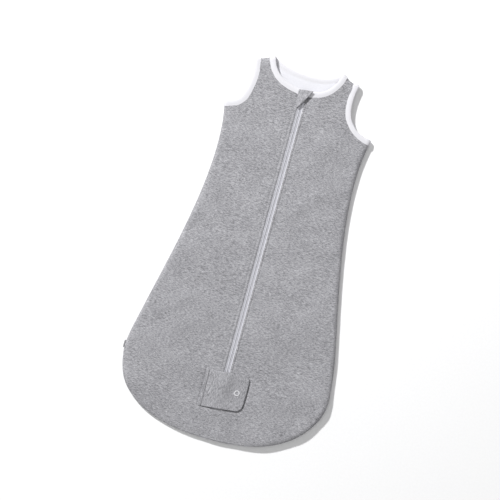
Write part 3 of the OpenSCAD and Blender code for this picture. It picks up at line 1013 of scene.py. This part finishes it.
# ---- zip
tape_low, tape_high = box("zip_tape_right")
chain_low, chain_high = box("zip_chain_right")
stub_low = box("zip_chain_end")[0][1]
slider_travel = joint("slider_travel")["range_m"][1] / MM
for side, name in SIDES:
    ys = np.arange(slot_low, tape_high[1] + 0.1, 2.0)
    near = ease((stub_low - 1 - ys) / 4)[:, None]
    top_x = np.array([tape_low[0], 2.0, 3.4, 3.7, 3.95, 4.15, 4.4, 4.7, 4.95, 8.0, tape_high[0]])
    top_up = np.array([0.7, 0.9, 0.9, 1.7, 2.5, 2.65, 2.3, 1.3, 0, 0, 0.0])
    # where the slider parks, the raised edge keeps clear of its sides
    park_x = np.array([tape_low[0], 2.0, 2.8, 3.0, 4.15, 4.25, 4.45, 4.7, 4.95, 8.0, tape_high[0]])
    park_up = np.array([0.7, 0.9, 0.9, 0, 0, 2.3, 2.5, 1.9, 0, 0, 0.0])
    parked = ease((ys - slider_low[1] - slider_travel + 1) / 3)[:, None]
    clear = slider_high[0] + 1.6 + 0.06 * np.arange(len(top_x))
    xs = np.maximum(top_x + (park_x - top_x) * parked, near * clear)
    zs = tape_high[2] + (top_up + (park_up - top_up) * parked) * (1 - near) * (1 if side < 0 else 0.25)
    low_x = np.maximum(tape_low[0], near * (clear[:1] - 0.05))
    profile = np.concatenate([np.stack([xs, zs], 2), np.stack([
        np.hstack([np.full_like(low_x, tape_high[0]), low_x]), np.full((len(ys), 2), tape_low[2])], 2)], 1)
    rows = len(ys)
    tape = sweep(f"zip_tape_cloth_{name}", np.column_stack([np.zeros(rows), ys, np.zeros(rows)]),
                 repeated((side, 0, 0), rows), repeated((0, 0, 1), rows), profile)
    dress(tape, "tape", "zip_tape", ("root", f"front_{name}"), f"zip_tape_{name}", f"zip_tape_tail_{name}")
    top = chain_high[1] if side > 0 else box("zip_chain_left")[1][1]
    wire = 0.33
    teeth = coil(f"zip_coil_{name}", side, stub_low + wire, top - wire, 0.1 + wire, chain_high[0] - wire,
                 (chain_low[2] + chain_high[2]) / 2, (chain_high[2] - chain_low[2]) / 2 - wire,
                 1.5, wire, 0.0 if side > 0 else math.pi)
    nodes = [f"zip_chain_{name}"] + (["zip_chain_end"] if side > 0 else [])
    dress(teeth, "coil", "zip_chain", ("root", f"front_{name}"), *nodes)
    for k, at in enumerate(STITCH_GAPS[side]):
        x = side * (slit_half + at)
        thread_z = top_z - 0.12
        line = spaced(np.array([(x, slit_line[0][1] - 1.5, thread_z), (x, slot_high + 4, thread_z)]), 1.0)
        row = stitch_row(f"zip_topstitch_{name}_{k + 1}", line, repeated((0, 0, 1), len(line)))
        dress(row, "thread", "body_knit", ("root", f"front_{name}"))

# bar tack across the end of the slit: closely laid threads
tack_low, tack_high = box("zip_bar_tack")
TACK_THREADS = 56
rows_x = np.linspace(tack_low[0], tack_high[0], TACK_THREADS)
zig = np.where(np.arange(TACK_THREADS) % 2 == 0, tack_low[1], tack_high[1])
line = np.column_stack([rows_x, zig, np.full(TACK_THREADS, tack_low[2] + 0.3)])
line = spaced(line, 0.8)
t = tangents(line)
w = np.cross(t, [0, 0, 1.0])
obj = sweep("bar_tack_thread", line, w, np.cross(w, t), round_section(0.24))
dress(obj, "thread", "body_knit", "root", "zip_bar_tack")

# ---- chin guard
crown = guard_high[2] - 1.2


def guard_height(xy, gaps):
    left = ease((xy[:, 0] - guard_low[0] - 1) / 9)
    base = guard_low[2] + 1.5
    return base + (crown + 1.4 - base) * left + 0.7 * ease(1 - distance(xy, guard_free) / 10)


guard_pts = [
    (guard_low[0] + 1.5, guard_high[1] - 3), (guard_low[0] + 5, guard_low[1]),
    (guard_low[0] + 6.4, guard_low[1] - 1), *map(tuple, guard_free),
    (guard_high[0] + 0.4, guard_high[1] - 0.2),
]
guard_loop = spaced(np.array(guard_pts + guard_pts[:1]), 1.2)
obj = shell("chin_guard_cloth", [("edge", guard_loop)], guard_height, 1.5, spacing=2.2)
dress(obj, "tab", "tab_knit", "front_left", "chin_guard")

# ---- snap tab
TAB_T = 1.5
tab_end = cap_low[2] - 0.05
tab_root = seam_high[2]


def lean_over(obj):
    """Turns a piece made in the tab's own straight frame into the bag's frame."""
    for v in obj.data.vertices:
        v.co.xy = turned(skewed(np.array(v.co.xy) / MM), LEAN) * MM
    return obj


def tab_height(xy, gaps):
    x, y = xy[:, 0], xy[:, 1]
    z = tab_root + (tab_end - tab_root) * ease((x - tab_low[0]) / 26)
    lump = 4.5 * np.exp(-(((x - own_slider[0]) / 13.5) ** 2) - (((y - own_slider[1]) / 24) ** 2))
    lump *= ease((x - tab_low[0]) / 16)
    flat = ease((np.hypot(x - own_snap[0], y - own_snap[1]) - 5.5) / 7)
    return z + lump * flat + 0.35 * waves(xy, 26, 8.8) * flat * ease((x - tab_low[0]) / 12)


def rounded_tab():
    """Border of the tab, anticlockwise, from the lower left corner."""
    (left, low), (right, high) = tab_low[:2], tab_high[:2]
    pts = [(left, low)] + tab_arc(right - TAB_R, low + TAB_R, TAB_R, -math.pi / 2)
    pts += tab_arc(right - TAB_R, high - TAB_R, TAB_R, 0) + [(left, high), (left, low)]
    return spaced(np.array(pts), 1.6)


tab_loop = rounded_tab()
obj = lean_over(shell("snap_tab_cloth", [("edge", tab_loop)], tab_height, TAB_T, spacing=2.6))
dress(obj, "tab", "tab_knit", "snap_tab", "snap_tab_fabric")


# the sewn edge, with two rows of stitches sunk into it
root_rows = (seam_low[0] + 1.6, seam_high[0] - 0.9)


def root_height(xy, gaps):
    return seam_high[2] - sum(0.45 * bell(xy[:, 0] - row_x, 0.6) for row_x in root_rows)


left, right = seam_low[0], seam_high[0] + 0.1
strip = np.array([(left, seam_low[1]), (right, seam_low[1]), (right, seam_high[1]),
                  (left, seam_high[1]), (left, seam_low[1])])
obj = lean_over(shell("snap_tab_root", [("edge", spaced(strip, 1.6))], root_height,
                      seam_high[2] - seam_low[2] + 0.1, spacing=2.0))
dress(obj, "tab", "tab_knit", "root", "snap_tab_seam")
for k, x in enumerate(root_rows):
    thread_z = seam_high[2] - 0.2
    line = spaced(np.array([(x, seam_low[1] + 1, thread_z), (x, seam_high[1] - 1, thread_z)]), 1.0)
    row = stitch_row(f"snap_tab_stitch_{k + 1}", line, repeated((0, 0, 1), len(line)), radius=0.26)
    dress(lean_over(row), "thread", "tab_knit", "root")

# ---- snap
def ring_section(r_in, r_out, low_z, high_z):
    """Rounded section of a turned ring."""
    c, h = (r_in + r_out) / 2, (r_out - r_in) / 2
    m, v = (low_z + high_z) / 2, (high_z - low_z) / 2
    return [(c + h * math.copysign(abs(math.cos(a)) ** 0.75, math.cos(a)),
             m + v * math.copysign(abs(math.sin(a)) ** 0.75, math.sin(a)))
            for a in np.linspace(0, 2 * np.pi, 14, endpoint=False)]


def snap_piece(name, node, body, section, closed=True):
    obj = lathe(name, (snap_x, snap_y, 0), section, closed=closed)
    dress(obj, "snap", "snap_metal", body, node)


cap_r = (cap_high[0] - cap_low[0]) / 2
ring_cut = ring_section(cap_r - 2.1, cap_r, cap_low[2] - 0.1, cap_high[2] + 0.15)
snap_piece("snap_ring", "snap_ring_cap", "snap_tab", ring_cut)
sock_low, sock_high = box("snap_socket")
sock_r = (sock_high[0] - sock_low[0]) / 2
snap_piece("snap_socket_ring", "snap_socket", "snap_tab", [
    (2.2, sock_low[2] + 0.25), (2.5, sock_low[2]), (3.3, sock_low[2]), (3.7, sock_low[2] + 0.35),
    (sock_r - 0.4, sock_low[2] + 0.45), (sock_r, sock_low[2] + 0.7), (sock_r, sock_high[2] - 0.15),
    (sock_r - 0.2, sock_high[2]), (2.4, sock_high[2]), (2.2, sock_high[2] - 0.2)])
stud_low, stud_high = box("snap_stud")
stud_r = (stud_high[0] - stud_low[0]) / 2
snap_piece("snap_stud_turned", "snap_stud", "root", [
    (0.0, stud_low[2]), (1.1, stud_low[2]), (1.1, top_z - 0.2), (stud_r - 0.4, top_z - 0.2),
    (stud_r, top_z), (stud_r, top_z + 0.35), (stud_r - 0.5, top_z + 0.6), (3.0, top_z + 0.62),
    (2.2, top_z + 0.75), (1.65, top_z + 1.0), (1.8, top_z + 1.45), (1.6, top_z + 1.8),
    (0.9, stud_high[2]), (0.0, stud_high[2])], closed=False)
rear_low, rear_high = box("snap_stud_backing")
rear_r = (rear_high[0] - rear_low[0]) / 2
snap_piece("snap_stud_rear", "snap_stud_backing", "root", [
    (0.0, rear_low[2]), (rear_r - 0.3, rear_low[2]), (rear_r, rear_low[2] + 0.25),
    (rear_r, rear_high[2] - 0.1), (rear_r - 0.2, rear_high[2]), (0.0, rear_high[2])], closed=False)

# ---- label
lab_low, lab_high = box("side_label")
lab_mid = (lab_low[2] + lab_high[2]) / 2
lab_r = (lab_high[2] - lab_low[2]) / 2 - 0.2
LABEL_IN, LABEL_HALF_T, LABEL_ROWS = 2.6, 0.18, 12
arc = [(lab_low[0] + LABEL_IN + lab_r - lab_r * math.sin(a), lab_mid + lab_r * math.cos(a))
       for a in np.linspace(0, math.pi, 9)]
legs = [[(lab_high[0] + x, lab_mid + z) for x in (4, -2)] for z in (lab_r, -lab_r)]
label_line = spaced(np.array(legs[0] + arc + legs[1][::-1]), 0.5)
label_out = left_of(label_line) * LABEL_HALF_T
label_section = np.vstack([label_line + label_out, (label_line - label_out)[::-1]])
ys = np.linspace(lab_low[1], lab_high[1], LABEL_ROWS)
path = np.column_stack([np.zeros(LABEL_ROWS), ys, np.zeros(LABEL_ROWS)])
obj = sweep("side_label_loop", path, repeated((1, 0, 0), LABEL_ROWS), repeated((0, 0, 1), LABEL_ROWS),
            label_section)
dress(obj, "label", "label", "root", "side_label")

# ---- carried-over CAD nodes
CARRIED = {"slider_body": "zinc", "slider_pin": "zinc", "zip_pull": "zinc",
           "retainer_box": "plastic", "insertion_pin": "plastic"}
for node, kind in CARRIED.items():
    obj = frame["nodes"][node]
    obj.data.materials.clear()
    obj.data.materials.append(M[kind])

# ---- floor, light and camera
FLOOR_HALF, FLOOR_Z = 6.0, -0.0004
mesh = bpy.data.meshes.new("floor")
mesh.from_pydata([(x * FLOOR_HALF, y * FLOOR_HALF, FLOOR_Z) for x, y in ((-1, -1), (1, -1), (1, 1), (-1, 1))],
                 [], [(0, 1, 2, 3)])
floor = bpy.data.objects.new("floor", mesh)
bpy.context.scene.collection.objects.link(floor)
net = Net("floor_paper", 0.9, specular=0.2)
grain = net.noise(net.node("ShaderNodeTexCoord").outputs["Object"], 260.0, 2.0)
paper = net.ramp(grain, [(0.3, (0.93, 0.93, 0.935)), (0.7, (0.95, 0.95, 0.955))])
net.link(paper, net.bsdf.inputs["Base Color"])
mesh.materials.append(net.material)

scene = bpy.context.scene
scene.view_settings.view_transform = "Standard"
world = bpy.data.worlds.new("studio")
world.use_nodes = True
world.node_tree.nodes["Background"].inputs["Color"].default_value = (1, 1, 1, 1)
world.node_tree.nodes["Background"].inputs["Strength"].default_value = 0.25
scene.world = world

# The key light stands low to the upper left of the bag
to_light = unit(np.array([-0.88, 0.78, 1.0]))
KEY_AWAY = 4.4
lamp = bpy.data.lights.new("key", "AREA")
lamp.shape = "DISK"
lamp.size = 0.33
lamp.energy = 3.3 * math.pi * KEY_AWAY**2
key = bpy.data.objects.new("key", lamp)
key.location = to_light * KEY_AWAY
key.rotation_euler = Vector(-to_light).to_track_quat("-Z", "Y").to_euler()
scene.collection.objects.link(key)

# A wide soft box overhead fills the shadows evenly
fill = bpy.data.lights.new("fill", "SUN")
fill.energy = 0.76
fill.angle = math.radians(60)
over = bpy.data.objects.new("fill", fill)
scene.collection.objects.link(over)

LENS, SENSOR, FIELD = 100.0, 36.0, 0.9
ZIP_LEAN = math.radians(15.5)
camera = bpy.data.cameras.new("camera")
camera.lens, camera.sensor_width = LENS, SENSOR
camera.clip_end = 50
view = bpy.data.objects.new("camera", camera)
view.location = (-19 * MM, 2.3 * MM, FIELD * LENS / SENSOR)
view.rotation_euler = (0, 0, ZIP_LEAN)
scene.collection.objects.link(view)
scene.camera = view

bpy.context.view_layer.update()
